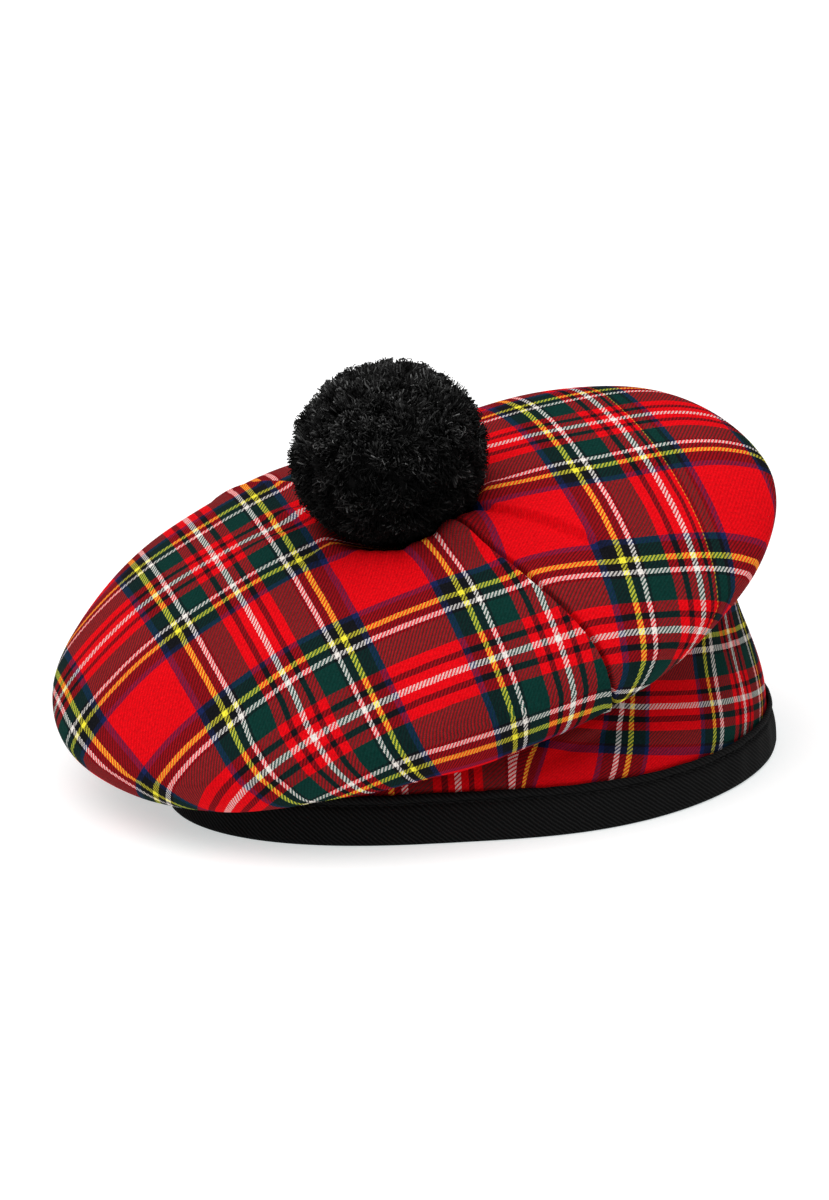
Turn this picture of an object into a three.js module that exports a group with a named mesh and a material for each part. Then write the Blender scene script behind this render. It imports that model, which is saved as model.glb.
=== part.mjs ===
import * as THREE from "three";

// Balmoral bonnet. Millimetres, +Z up, the bound edge lies on Z = 0, the drooping side faces -Y.

// --- sizes -----------------------------------------------------------------
const CLOTH = 2.0;            // wall of the tartan cloth
const SEAM_GAP = 0.3;         // between the two crown panels
const SEAM_NIP = 0.15;        // degrees that each panel stops short of the seam on the underside
const SEW_GAP = 0.5;          // between the crown's inner edge and the side band
const COLUMNS = 48;           // facets round the bonnet
const SEAM_AZ = 313;          // direction of the crown seam, degrees from +X

// Crown: a puffed oval, leaning down towards -X and -Y.
const CROWN = { x: -1.3, y: -17.9, z: 57.9, leanX: 11.4, leanY: 13.8, dome: 35.0, sharp: 2.45, round: 1.42 };
const TOP_ROWS = [0, 0.055, 0.11, 0.165, 0.22, 0.275, 0.34, 0.43, 0.53, 0.63, 0.73, 0.82, 0.9, 0.96, 0.99, 1]; // fractions of the rim radius
const UNDER_ROWS = 6, RETURN_ROWS = 6;

// One row per direction: rim radius and height in the crown's own leaning plane, depth of the
// underside below the rim, how far the underside folds in, height of the sewn neck above the ground.
const RIM = [
  { az: 0,   radius: 120.4, rise: 4.8,  depth: 12.4, foldIn: 14, neckZ: 62 },
  { az: 45,  radius: 116.9, rise: 8.9,  depth: 24.0, foldIn: 12, neckZ: 66 },
  { az: 90,  radius: 100.5, rise: -5.5, depth: 18.0, foldIn: 16, neckZ: 57 },
  { az: 135, radius: 106.5, rise: -3.2, depth: 22.0, foldIn: 18, neckZ: 42 },
  { az: 180, radius: 120.9, rise: -5.9, depth: 13.5, foldIn: 12, neckZ: 30 },
  { az: 225, radius: 112.3, rise: -1.4, depth: 13.5, foldIn: 8,  neckZ: 26 },
  { az: 270, radius: 90.6,  rise: 1.9,  depth: 19.3, foldIn: 12, neckZ: 30 },
  { az: 315, radius: 94.5,  rise: -1.5, depth: 15.4, foldIn: 10, neckZ: 42 },
];

// Pompom: a ball a little lower than wide, sunk into a dip in the crown, `off` from its middle.
const POMPOM = { wide: 31.2, high: 30.5, lift: 17.4, off: 4.9, seatGap: 0.8, seatBlend: 5.0 };

// Head opening: the foot of the bound edge as seen from EDGE_MIDDLE, and how far the top of the
// binding leans in. The side band leans in further, to the neck, NECK_IN inside the foot.
const EDGE_MIDDLE = { x: 12, y: -10 };
const NECK_IN = 16;
const EDGE = [
  { az: 0,   radius: 105.8, lean: 2.0 },
  { az: 30,  radius: 105.0, lean: 1.5 },
  { az: 60,  radius: 94.4,  lean: 1.5 },
  { az: 90,  radius: 88.2,  lean: 1.5 },
  { az: 120, radius: 88.4,  lean: 1.5 },
  { az: 150, radius: 90.4,  lean: 1.5 },
  { az: 180, radius: 92.0,  lean: 1.5 },
  { az: 210, radius: 101.4, lean: 2.5 },
  { az: 240, radius: 90.1,  lean: 3.5 },
  { az: 270, radius: 79.8,  lean: 4.6 },
  { az: 300, radius: 85.0,  lean: 2.5 },
  { az: 330, radius: 95.4,  lean: 0.4 },
];

// Binding: tape folded round the lower edge of the side band.
const BINDING = { height: 15, tape: 1.2, slot: 2.9, chamfer: 0.8 };
const BAND = { inset: 1.65, bottom: 1.65, tail: 3.0, rows: 6 };

const RED = 0xc01020, BLACK = 0x101012;

// --- helpers ---------------------------------------------------------------
const rad = (d) => (d * Math.PI) / 180;
const vec = (x, y, z) => new THREE.Vector3(x, y, z);

// Smooth periodic curve through a column of a table (periodic cubic spline).
function periodic(table, column) {
  const y = table.map((row) => row[column]), n = y.length;
  const A = [], k = new Array(n).fill(0);
  for (let i = 0; i < n; i++) {
    const line = new Array(n + 1).fill(0);
    line[(i + n - 1) % n] = 1; line[i] = 4; line[(i + 1) % n] = 1;
    line[n] = 3 * (y[(i + 1) % n] - y[(i + n - 1) % n]);
    A.push(line);
  }
  for (let i = 0; i < n; i++) {
    for (let j = i + 1; j < n; j++) {
      const f = A[j][i] / A[i][i];
      for (let c = i; c <= n; c++) A[j][c] -= f * A[i][c];
    }
  }
  for (let i = n - 1; i >= 0; i--) {
    let s = A[i][n];
    for (let c = i + 1; c < n; c++) s -= A[i][c] * k[c];
    k[i] = s / A[i][i];
  }
  return (az) => {
    const p = ((((az % 360) + 360) % 360) / 360) * n;
    const i = Math.floor(p) % n, j = (i + 1) % n, t = p - Math.floor(p);
    const h00 = (1 + 2 * t) * (1 - t) ** 2, h10 = t * (1 - t) ** 2;
    const h01 = t * t * (3 - 2 * t), h11 = t * t * (t - 1);
    return h00 * y[i] + h10 * k[i] + h01 * y[j] + h11 * k[j];
  };
}
const radius = periodic(RIM, "radius"), rise = periodic(RIM, "rise"), depth = periodic(RIM, "depth");
const foldIn = periodic(RIM, "foldIn"), neckZ = periodic(RIM, "neckZ");
const footRadius = periodic(EDGE, "radius"), topLean = periodic(EDGE, "lean");

// Point of the bound edge's foot in direction az, moved inward along the curve's normal by d.
function edge(az, d = 0) {
  const at = (a) => vec(EDGE_MIDDLE.x + footRadius(a) * Math.cos(rad(a)), EDGE_MIDDLE.y + footRadius(a) * Math.sin(rad(a)), 0);
  const t = at(az + 0.05).sub(at(az - 0.05)).normalize();
  return at(az).add(vec(-t.y, t.x, 0).multiplyScalar(d));
}
const leanAt = (az, z) => (topLean(az) * z) / BINDING.height;

// The crown's own leaning axes.
const O = vec(CROWN.x, CROWN.y, CROWN.z);
const N = vec(-Math.tan(rad(CROWN.leanX)), -Math.tan(rad(CROWN.leanY)), 1).normalize();
const U = vec(1, 0, 0).addScaledVector(N, -N.x).normalize();
const V = vec(0, 0, 0).crossVectors(N, U);
const local = (r, az, z) =>
  O.clone().addScaledVector(U, r * Math.cos(rad(az))).addScaledVector(V, r * Math.sin(rad(az))).addScaledVector(N, z);

// Height of the crown top, with the dip that the pompom sits in.
function topHeight(r, w, az) {
  const dome = rise(az) * w * w + CROWN.dome * Math.max(0, 1 - w ** CROWN.sharp) ** (1 / CROWN.round);
  const q = Math.hypot(r * Math.cos(rad(az)) - POMPOM.off, r * Math.sin(rad(az)));
  if (q >= POMPOM.wide) return dome;
  const seat = CROWN.dome + POMPOM.lift - POMPOM.high * Math.sqrt(1 - (q / POMPOM.wide) ** 2) - POMPOM.seatGap;
  const h = Math.max(0, POMPOM.seatBlend - Math.abs(dome - seat)) / POMPOM.seatBlend;
  return Math.min(dome, seat) - (h * h * POMPOM.seatBlend) / 4;
}

// Outer face of the crown: s = 0 middle, 1 rim, 2 bottom of the fold, 3 sewn neck.
function crownFace(az, s) {
  const R = radius(az);
  if (s <= 1) {
    const w = Math.sin((Math.max(0, s) * Math.PI) / 2);
    return local(w * R, az, topHeight(w * R, w, az));
  }
  if (s <= 2) {
    const t = ((s - 1) * Math.PI) / 2;
    return local(R - foldIn(az) * (1 - Math.cos(t)), az, rise(az) - depth(az) * Math.sin(t));
  }
  const t = Math.min(1, s - 2), out = vec(Math.cos(rad(az)), Math.sin(rad(az)), 0);
  const p0 = local(R - foldIn(az), az, rise(az) - depth(az));
  const p3 = edge(az, NECK_IN - SEW_GAP).setZ(neckZ(az));
  const span = p0.distanceTo(p3);
  const inward = local(0, az, 0).sub(local(1, az, 0));
  const p1 = p0.clone().addScaledVector(inward, 0.22 * span);
  const away = out.clone().multiplyScalar(0.75).addScaledVector(p0.clone().sub(p3).normalize(), 0.25).normalize();
  const p2 = p3.clone().addScaledVector(away, 0.55 * span);
  const q = 1 - t;
  return vec(0, 0, 0)
    .addScaledVector(p0, q * q * q).addScaledVector(p1, 3 * q * q * t)
    .addScaledVector(p2, 3 * q * t * t).addScaledVector(p3, t * t * t);
}

function crownNormal(az, s) {
  const e = 0.004, a = 0.5;
  if (s < 1e-6) {
    const across = crownFace(0, e).sub(crownFace(180, e)), along = crownFace(90, e).sub(crownFace(270, e));
    return across.cross(along).normalize();
  }
  const ds = crownFace(az, Math.min(3, s + e)).sub(crownFace(az, Math.max(0, s - e)));
  const da = crownFace(az + a, s).sub(crownFace(az - a, s));
  return ds.cross(da).normalize();
}

// Closed mesh from an outer and an inner grid of points, grid[row][column].
// `loop` joins the last column to the first; `tip` means row 0 is a single point.
function shell(outer, inner, { loop = false, tip = false } = {}) {
  const rows = outer.length, cols = outer[0].length, pos = [], idx = [];
  for (const grid of [outer, inner]) for (const row of grid) for (const p of row) pos.push(p.x, p.y, p.z);
  const last = loop ? cols : cols - 1;
  const at = (g, i, k) => g * rows * cols + i * cols + (tip && i === 0 ? 0 : k % cols);
  const quad = (a, b, c, d) => { if (a !== b) idx.push(a, b, c); if (c !== d) idx.push(a, c, d); };
  for (let i = 0; i + 1 < rows; i++) for (let k = 0; k < last; k++) {
    quad(at(0, i, k + 1), at(0, i, k), at(0, i + 1, k), at(0, i + 1, k + 1));
    quad(at(1, i, k), at(1, i, k + 1), at(1, i + 1, k + 1), at(1, i + 1, k));
  }
  for (let k = 0; k < last; k++) {
    quad(at(0, rows - 1, k + 1), at(0, rows - 1, k), at(1, rows - 1, k), at(1, rows - 1, k + 1));
    if (!tip) quad(at(0, 0, k), at(0, 0, k + 1), at(1, 0, k + 1), at(1, 0, k));
  }
  if (!loop) for (let i = 0; i + 1 < rows; i++) {
    quad(at(0, i, 0), at(1, i, 0), at(1, i + 1, 0), at(0, i + 1, 0));
    quad(at(0, i, cols - 1), at(0, i + 1, cols - 1), at(1, i + 1, cols - 1), at(1, i, cols - 1));
  }
  const g = new THREE.BufferGeometry();
  g.setAttribute("position", new THREE.Float32BufferAttribute(pos, 3));
  g.setIndex(idx);
  return g;
}

const group = new THREE.Group();
group.name = "balmoral_bonnet";
function add(name, geometry, color, roughness) {
  const mesh = new THREE.Mesh(geometry, new THREE.MeshStandardMaterial({ color, roughness, metalness: 0 }));
  mesh.name = name;
  group.add(mesh);
  return mesh;
}

// --- crown panels ----------------------------------------------------------
const STEPS = [];
for (const w of TOP_ROWS) STEPS.push((Math.asin(w) * 2) / Math.PI);
for (let i = 1; i <= UNDER_ROWS; i++) STEPS.push(1 + i / UNDER_ROWS);
for (let i = 1; i <= RETURN_ROWS; i++) STEPS.push(2 + i / RETURN_ROWS);

function crownPanel(startAz) {
  const outer = [], inner = [];
  const side = local(Math.cos(0), startAz + 90, 0).sub(O).multiplyScalar(SEAM_GAP / 2);
  for (const s of STEPS) {
    const a = [], b = [];
    const half = COLUMNS / 2, nip = s > 1 ? SEAM_NIP * Math.min(1, s - 1) : 0;
    for (let k = 0; k <= half; k++) {
      const az = startAz + (k * 360) / COLUMNS + (k === 0 ? nip : k === half ? -nip : 0);
      const p = crownFace(az, s);
      a.push(p.clone().add(side));
      b.push(p.addScaledVector(crownNormal(az, s), -CLOTH).add(side));
    }
    outer.push(a); inner.push(b);
  }
  return shell(outer, inner, { tip: true });
}
add("crown_right", crownPanel(SEAM_AZ), RED, 0.9);
add("crown_left", crownPanel(SEAM_AZ + 180), RED, 0.9);

// --- side band -------------------------------------------------------------
const ease = (t) => t * t * (3 - 2 * t);
function bandPoint(az, row, d) {
  const high = edge(az, NECK_IN + d), top = neckZ(az);
  if (row < 0) return edge(az, BAND.inset + d + leanAt(az, BAND.bottom)).setZ(BAND.bottom);
  if (row > 1) return high.setZ(top + BAND.tail);
  const low = edge(az, BAND.inset + d + leanAt(az, BINDING.height));
  return low.lerp(high, ease(row)).setZ(BINDING.height + (top - BINDING.height) * row);
}
const bandRows = [-1];
for (let i = 0; i <= BAND.rows; i++) bandRows.push(i / BAND.rows);
bandRows.push(2);
const bandGrid = (d) => bandRows.map((row) => {
  const line = [];
  for (let k = 0; k < COLUMNS; k++) line.push(bandPoint(SEAM_AZ + (k * 360) / COLUMNS, row, d));
  return line;
}).reverse();
add("side_band", shell(bandGrid(0), bandGrid(CLOTH), { loop: true }), RED, 0.9);

// --- binding ---------------------------------------------------------------
const B = BINDING, wide = 2 * B.tape + B.slot;
const SECTION = [
  { d: 0, z: B.chamfer }, { d: 0, z: B.height - B.chamfer }, { d: B.chamfer / 2, z: B.height },
  { d: B.tape, z: B.height }, { d: B.tape, z: B.tape }, { d: B.tape + B.slot, z: B.tape },
  { d: B.tape + B.slot, z: B.height }, { d: wide - B.chamfer / 2, z: B.height },
  { d: wide, z: B.height - B.chamfer }, { d: wide, z: B.chamfer }, { d: wide - B.chamfer, z: 0 }, { d: B.chamfer, z: 0 },
];
function sweep(section) {
  const pos = [], idx = [], m = section.length;
  for (let k = 0; k < COLUMNS; k++) for (const { d, z } of section) {
    const az = SEAM_AZ + (k * 360) / COLUMNS, p = edge(az, d + leanAt(az, z));
    pos.push(p.x, p.y, z);
  }
  for (let k = 0; k < COLUMNS; k++) for (let i = 0; i < m; i++) {
    const a = k * m + i, b = k * m + ((i + 1) % m), c = ((k + 1) % COLUMNS) * m + ((i + 1) % m), d = ((k + 1) % COLUMNS) * m + i;
    idx.push(a, d, c, a, c, b);
  }
  const g = new THREE.BufferGeometry();
  g.setAttribute("position", new THREE.Float32BufferAttribute(pos, 3));
  g.setIndex(idx);
  return g;
}
add("binding", sweep(SECTION), BLACK, 0.8);

// --- pompom ----------------------------------------------------------------
const ball = new THREE.SphereGeometry(1, 28, 16);
ball.rotateX(Math.PI / 2);
ball.scale(POMPOM.wide, POMPOM.wide, POMPOM.high);
ball.applyMatrix4(new THREE.Matrix4().makeBasis(U, V, N).setPosition(local(POMPOM.off, 0, CROWN.dome + POMPOM.lift)));
add("pompom", ball, BLACK, 1.0);

// --- origin: middle of the footprint, on the ground ------------------------
const box = new THREE.Box3();
for (const mesh of group.children) { mesh.geometry.computeBoundingBox(); box.union(mesh.geometry.boundingBox); }
const middle = box.getCenter(vec(0, 0, 0));
for (const mesh of group.children) mesh.geometry.translate(-middle.x, -middle.y, 0);
for (const mesh of group.children) mesh.geometry.computeVertexNormals();

export default group;
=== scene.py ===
import math

import bpy
import numpy as np
from mathutils import Matrix, Vector


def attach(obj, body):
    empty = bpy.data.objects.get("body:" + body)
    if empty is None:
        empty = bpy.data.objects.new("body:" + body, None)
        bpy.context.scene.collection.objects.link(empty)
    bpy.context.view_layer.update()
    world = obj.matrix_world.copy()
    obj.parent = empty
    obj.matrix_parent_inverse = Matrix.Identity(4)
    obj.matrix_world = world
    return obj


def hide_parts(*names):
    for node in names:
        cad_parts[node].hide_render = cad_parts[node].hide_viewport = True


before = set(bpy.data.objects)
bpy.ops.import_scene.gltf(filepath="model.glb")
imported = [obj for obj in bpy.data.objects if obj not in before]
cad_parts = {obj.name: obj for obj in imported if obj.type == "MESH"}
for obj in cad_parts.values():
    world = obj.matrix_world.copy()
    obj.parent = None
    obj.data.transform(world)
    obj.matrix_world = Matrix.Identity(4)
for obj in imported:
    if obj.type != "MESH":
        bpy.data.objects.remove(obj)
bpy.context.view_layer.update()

# ---------------------------------------------------------------------------
# Sizes in millimetres, in the same construction frame as the part; SHIFT takes them to the row frame.
SHIFT = np.array([0.3632, 13.1109, 0.0])
CLOTH = 2.0
SEAM_GAP = 0.3
SEW_GAP = 0.5
SEAM_AZ = 313.0
CROWN = dict(x=-1.3, y=-17.9, z=57.9, lean_x=11.4, lean_y=13.8, dome=35.0, sharp=2.45, round=1.42)
AZ = np.arange(0.0, 360.0, 45.0)
RIM = {  # per 45 degrees, from +X
    "radius": [120.4, 116.9, 100.5, 106.5, 120.9, 112.3, 90.6, 94.5],
    "rise": [4.8, 8.9, -5.5, -3.2, -5.9, -1.4, 1.9, -1.5],
    "depth": [12.4, 24.0, 18.0, 22.0, 13.5, 13.5, 19.3, 15.4],
    "fold_in": [14, 12, 16, 18, 12, 8, 12, 10],
    "neck_z": [62, 66, 57, 42, 30, 26, 30, 42],
}
POMPOM = dict(wide=31.2, high=30.5, lift=17.4, off=4.9, seat_gap=0.8, blend=5.0)
EDGE_MIDDLE = (12.0, -10.0)
EDGE = {  # per 30 degrees, from +X: foot of the bound edge, inward lean of its top
    "radius": [105.8, 105.0, 94.4, 88.2, 88.4, 90.4, 92.0, 101.4, 90.1, 79.8, 85.0, 95.4],
    "lean": [2.0, 1.5, 1.5, 1.5, 1.5, 1.5, 1.5, 2.5, 3.5, 4.6, 2.5, 0.4],
}
NECK_IN = 16.0
BINDING = dict(height=15.0, tape=1.2, slot=2.9)
BAND = dict(inset=1.65, bottom=1.65, tail=3.0)

# Camera of the photograph: looks at AIM from DIST away, EL degrees above the ground, rolled a little.
EL, ROLL, DIST, AIM, FOCAL_PX, FRAME_PX = 18.0, 2.0, 1100.0, (0.0, 0.0, 50.0), 3355.0, 1200.0

# Sett of the cloth in threads from the middle of the narrow white stripe to the middle of the wide red one.
SETT = [("W", 3), ("R", 8), ("K", 6), ("R", 10), ("G", 24), ("K", 2), ("W", 6), ("K", 8), ("Y", 6), ("K", 14), ("B", 6), ("R", 40)]
HALF = 133.0
# Past the narrow white stripe on the right half of the crown the order is another one (threads from FAR_AT on).
FAR_AT = 535.0
FAR = [("R", 6), ("K", 3), ("R", 4), ("O", 2), ("K", 3), ("G", 10), ("K", 4), ("B", 6), ("R", 73), ("B", 6), ("K", 14), ("Y", 6), ("K", 8), ("W", 6),
       ("K", 2), ("G", 24), ("R", 10), ("K", 6), ("R", 8), ("W", 6)]
# Weft order of the side band from its lower edge up (v in threads, 0 = white line).
BAND_WEFT = [("R", -140), ("B", -56), ("K", -46), ("G", -43), ("R", -27), ("K", -17), ("R", -11), ("W", -3), ("R", 3), ("K", 11), ("R", 17),
             ("G", 27), ("K", 51), ("W", 53), ("K", 59), ("Y", 67), ("K", 73), ("B", 87), ("R", 93), ("B", 173), ("K", 179), ("Y", 193), ("K", 199)]
BAND_WEFT_TOP = 210.0
# Warp order of the side band, one repeat from the left edge of a wide red stripe (threads).
BAND_WARP = [("R", 80), ("B", 6), ("K", 14), ("Y", 6), ("K", 8), ("W", 6), ("K", 2), ("G", 24), ("R", 10), ("K", 6), ("R", 8), ("W", 6), ("R", 8), ("K", 6),
             ("R", 10), ("G", 24), ("K", 2), ("W", 6), ("K", 8), ("Y", 6), ("K", 14), ("B", 6), ("R", 80), ("B", 6), ("K", 12), ("W", 6), ("K", 8), ("Y", 6),
             ("K", 14), ("B", 6)]
BAND_REPEAT = 404.0
# Warp thread number against millimetres along the band (0 at azimuth 315); five repeats go round.
BAND_U = [(-60, -207.6), (-50.4, -175), (-46.3, -161), (-42.7, -138), (-24.5, -58), (-5.6, 0), (16.4, 80), (43.2, 173), (60.8, 236), (110, 403.3), (534, 1812.4)]
YARN = {  # linear colours of the dyed yarns
    "R": (0.770, 0.0022, 0.0066),
    "G": (0.0030, 0.0340, 0.0270),
    "B": (0.0100, 0.0180, 0.0850),
    "K": (0.0065, 0.0070, 0.0090),
    "W": (0.870, 0.810, 0.755),
    "Y": (0.950, 0.840, 0.0500),
    "O": (0.700, 0.420, 0.0250),
}
# Thread numbers over the flat cloth: u, v = sum of coefficients * (1, x, y, xx, xy, yy, xxx, xxy, xyy, yyy), x, y in 100 mm.
WEAVE = {
    "left": {
        "u": [176.82, 305.21, 95.35, -2.21, 0.06, 0.03, -10.26, 8.78, 4.73, -3.78],
        "v": [221.51, -89.23, 247.73, -9.54, 8.12, -24.57, 1.97, -13.07, 16.33, -4.51],
    },
    "right": {
        "u": [283.93, 289.63, 83.73, -1.82, 0.72, 14.64, 0, 0, 0, 0],
        "v": [228.74, -66.22, 260.1, -1.51, 4.75, -21.32, 0, 0, 0, 0],
    },
}
RNG = np.random.default_rng(57610)


# ---------------------------------------------------------------------------
def periodic(values):
    """Periodic cubic spline through one value per 45 degrees."""
    y = np.array(values, float)
    n = len(y)
    m = np.zeros((n, n))
    for i in range(n):
        m[i, i - 1], m[i, i], m[i, (i + 1) % n] = 1, 4, 1
    k = np.linalg.solve(m, 3 * (np.roll(y, -1) - np.roll(y, 1)))

    def at(az):
        p = np.mod(az, 360.0) / 360.0 * n
        i = np.floor(p).astype(int) % n
        t = p - np.floor(p)
        j = (i + 1) % n
        return ((1 + 2 * t) * (1 - t) ** 2 * y[i] + t * (1 - t) ** 2 * k[i]
                + t * t * (3 - 2 * t) * y[j] + t * t * (t - 1) * k[j])
    return at


rim = {name: periodic(v) for name, v in RIM.items()}
foot = {name: periodic(v) for name, v in EDGE.items()}


def unit(v):
    return v / np.maximum(np.linalg.norm(v, axis=-1, keepdims=True), 1e-12)


def edge(az, d=0.0):
    """Foot of the bound edge in direction az, moved inward along the curve's normal by d."""
    az = np.asarray(az, float)

    def at(a):
        r, p = foot["radius"](a), np.radians(a)
        return np.stack([EDGE_MIDDLE[0] + r * np.cos(p), EDGE_MIDDLE[1] + r * np.sin(p), 0 * r], -1)
    t = unit(at(az + 0.05) - at(az - 0.05))
    return at(az) + np.stack([-t[..., 1], t[..., 0], 0 * t[..., 0]], -1) * np.asarray(d, float)[..., None]


def lean_at(az, z):
    return foot["lean"](np.asarray(az, float)) * z / BINDING["height"]


O = np.array([CROWN["x"], CROWN["y"], CROWN["z"]])
N = unit(np.array([-math.tan(math.radians(CROWN["lean_x"])), -math.tan(math.radians(CROWN["lean_y"])), 1.0]))
U = unit(np.array([1.0, 0, 0]) - N[0] * N)
V = np.cross(N, U)


def local(r, az, z):
    a = np.radians(az)
    return O + (r * np.cos(a))[..., None] * U + (r * np.sin(a))[..., None] * V + z[..., None] * N


def dome_height(w, az):
    return rim["rise"](az) * w * w + CROWN["dome"] * np.maximum(0, 1 - w ** CROWN["sharp"]) ** (1 / CROWN["round"])


def top_height(r, w, az):
    dome = dome_height(w, az)
    q = np.hypot(r * np.cos(np.radians(az)) - POMPOM["off"], r * np.sin(np.radians(az))) / POMPOM["wide"]
    seat = CROWN["dome"] + POMPOM["lift"] - POMPOM["high"] * np.sqrt(np.maximum(0, 1 - q * q)) - POMPOM["seat_gap"]
    h = np.maximum(0, POMPOM["blend"] - np.abs(dome - seat)) / POMPOM["blend"]
    return np.where(q < 1, np.minimum(dome, seat) - h * h * POMPOM["blend"] / 4, dome)


def crown_base(az, s):
    """Outer face of the crown and its flat-cloth radius: s = 0 middle, 1 rim, 2 bottom of the fold, 3 sewn neck."""
    R, fi, h, D = rim["radius"](az), rim["fold_in"](az), rim["rise"](az), rim["depth"](az)
    w = np.sin(np.clip(s, 0, 1) * np.pi / 2)
    top = local(w * R, az, top_height(w * R, w, az))
    t = np.clip(s - 1, 0, 1) * np.pi / 2
    under = local(R - fi * (1 - np.cos(t)), az, h - D * np.sin(t))
    t = np.clip(s - 2, 0, 1)[..., None]
    out = np.stack([np.cos(np.radians(az)), np.sin(np.radians(az)), 0 * az], -1)
    p0 = local(R - fi, az, h - D)
    p3 = edge(az, NECK_IN - SEW_GAP)
    p3[..., 2] = rim["neck_z"](az)
    span = np.linalg.norm(p0 - p3, axis=-1, keepdims=True)
    inward = local(0 * az, az, 0 * az) - local(0 * az + 1, az, 0 * az)
    p1 = p0 + inward * 0.22 * span
    p2 = p3 + unit(0.75 * out + 0.25 * unit(p0 - p3)) * 0.55 * span
    q = 1 - t
    back = q ** 3 * p0 + 3 * q * q * t * p1 + 3 * q * t * t * p2 + t ** 3 * p3
    return np.where((s <= 1)[..., None], top, np.where((s <= 2)[..., None], under, back))


def flat_radius(az, s_values):
    """Length along the cloth from the middle of the crown, without the pompom's dip."""
    fine = np.linspace(0, 3, 601)
    A, S = np.meshgrid(az, fine, indexing="ij")
    w = np.sin(np.clip(S, 0, 1) * np.pi / 2)
    R = rim["radius"](A)
    P = np.where((S <= 1)[..., None], local(w * R, A, dome_height(w, A)), crown_base(A, S))
    arc = np.concatenate([np.zeros((len(az), 1)), np.cumsum(np.linalg.norm(np.diff(P, axis=1), axis=-1), 1)], 1)
    return np.stack([np.interp(s_values, fine, arc[i]) for i in range(len(az))])


def smooth(e0, e1, x):
    t = np.clip((x - e0) / (e1 - e0), 0, 1)
    return t * t * (3 - 2 * t)


def crown_relief(az, s, a, b):
    """Folds, seam valley and puckers as a height over the base shape; a, b are flat-cloth millimetres."""
    d = np.zeros_like(a)
    r = np.hypot(a, b)
    e = np.radians(SEAM_AZ)
    across = r * np.sin(np.radians(az) - e)            # positive on the right panel, which tucks under a little
    lip = 0.7 * np.exp(-((across + 1.5) / 1.6) ** 2) - 2.7 * np.exp(-(across / 0.45) ** 2)
    d += np.where(across > 0, -2.6 * np.exp(-(across / 0.8) ** 2) - 0.5 * np.exp(-(across / 3.5) ** 2), lip)
    # soft fold that runs out from the pompom to the right of the seam
    p0, p1 = np.array([24.0, -7.0]), np.array([66.0, -32.3])
    t = p1 - p0
    ln = np.hypot(*t)
    t = t / ln
    along = (a - p0[0]) * t[0] + (b - p0[1]) * t[1]
    off = -(a - p0[0]) * t[1] + (b - p0[1]) * t[0] + 3.0 * ((along - ln / 2) / ln) ** 2 * 2
    fade = smooth(-14, 4, along) * (1 - smooth(ln * 0.7, ln * 1.35, along))
    step = 1 / (1 + np.exp(-off / 0.45))               # the cloth above the crease lies a little over the cloth below it
    d += fade * (2.8 * step * np.exp(-np.maximum(off, 0) / 6.0) - 2.1 * (1 - step) * np.exp(np.minimum(off, 0) / 2.6))
    # puckers round the pompom
    ring = np.exp(-((r - 33) / 11) ** 2)
    phi = np.arctan2(b, a)
    d += ring * (0.55 * np.cos(11 * phi + 0.8) + 0.35 * np.cos(17 * phi + 2.1) + 0.25 * np.cos(29 * phi))
    # the cloth puffs up against the yarn in front
    d += 3.2 * np.exp(-((a - 21) ** 2 + (b + 22) ** 2) / 90.0)
    # slack of the cloth
    d += -0.6 + 0.5 * np.sin(a / 19 + 0.6) * np.sin(b / 23 + 1.1) + 0.35 * np.sin((a + b) / 13 + 2.0) * np.sin((a - b) / 17)
    # gathers into the neck on the underside
    g = smooth(1.5, 2.9, s)
    d += g * (0.55 * np.cos(np.radians(az) * 38 + 1.5 * np.sin(np.radians(az) * 5)) + 0.35 * np.cos(np.radians(az) * 23 + 1))
    return d * (1 - 0.75 * smooth(2.6, 3.0, s)) * smooth(10, 30, r)


def weave(coef, a, b):
    x, y = a / 100, b / 100
    basis = np.stack([np.ones_like(x), x, y, x * x, x * y, y * y, x ** 3, x * x * y, x * y * y, y ** 3], -1)
    u, v = basis @ np.array(coef["u"]), basis @ np.array(coef["v"])
    # the cloth is eased in along the front seam beside the pompom
    e = np.radians(SEAM_AZ)
    along, across = a * np.cos(e) + b * np.sin(e), -a * np.sin(e) + b * np.cos(e)
    if coef is WEAVE["left"]:
        u = u + 8.0 * np.exp(-((along - 42) / 16) ** 2) * np.exp(-(across / 9) ** 2)
        u = u + 7.0 * np.exp(-((np.hypot(a, b) - 26) / 11) ** 2) * np.exp(-((across + 10) / 12) ** 2) * smooth(5, 15, along)
        v = v - 4.0 * np.exp(-((v - 65) / 30) ** 2) * smooth(-90, -20, a)
        held = v - 6.0 * np.logaddexp(0, (v - 184.0) / 6.0)
        v = v + (held - v) * (1 - smooth(29, 36, np.hypot(a, b))) * (1 - smooth(-14, -4, b)) * smooth(-17, -7, a)
    else:
        eased = 341.0 + 6.0 * np.logaddexp(0, (u - 343.0) / 6.0)
        u = u + (eased - u) * (1 - smooth(42, 62, np.hypot(a, b))) * smooth(-8, 2, along)
        v = v - 0.07 * np.clip(u - 490, 0, 170) * smooth(100, 180, v)
        v = v - 12.0 * np.exp(-(across / 20) ** 2) * np.exp(-((v - 75) / 40) ** 2) * smooth(15, 30, along)
        held = v - 6.0 * np.logaddexp(0, (v - 184.0) / 6.0)
        v = v + (held - v) * (1 - smooth(28, 36, np.hypot(a, b))) * smooth(-4, 6, along) * (1 - smooth(-12, -4, b))
    return np.stack([u, v], -1)


# ---------------------------------------------------------------------------
def to_row(p):
    return (np.asarray(p, float) + SHIFT) / 1000.0


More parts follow.
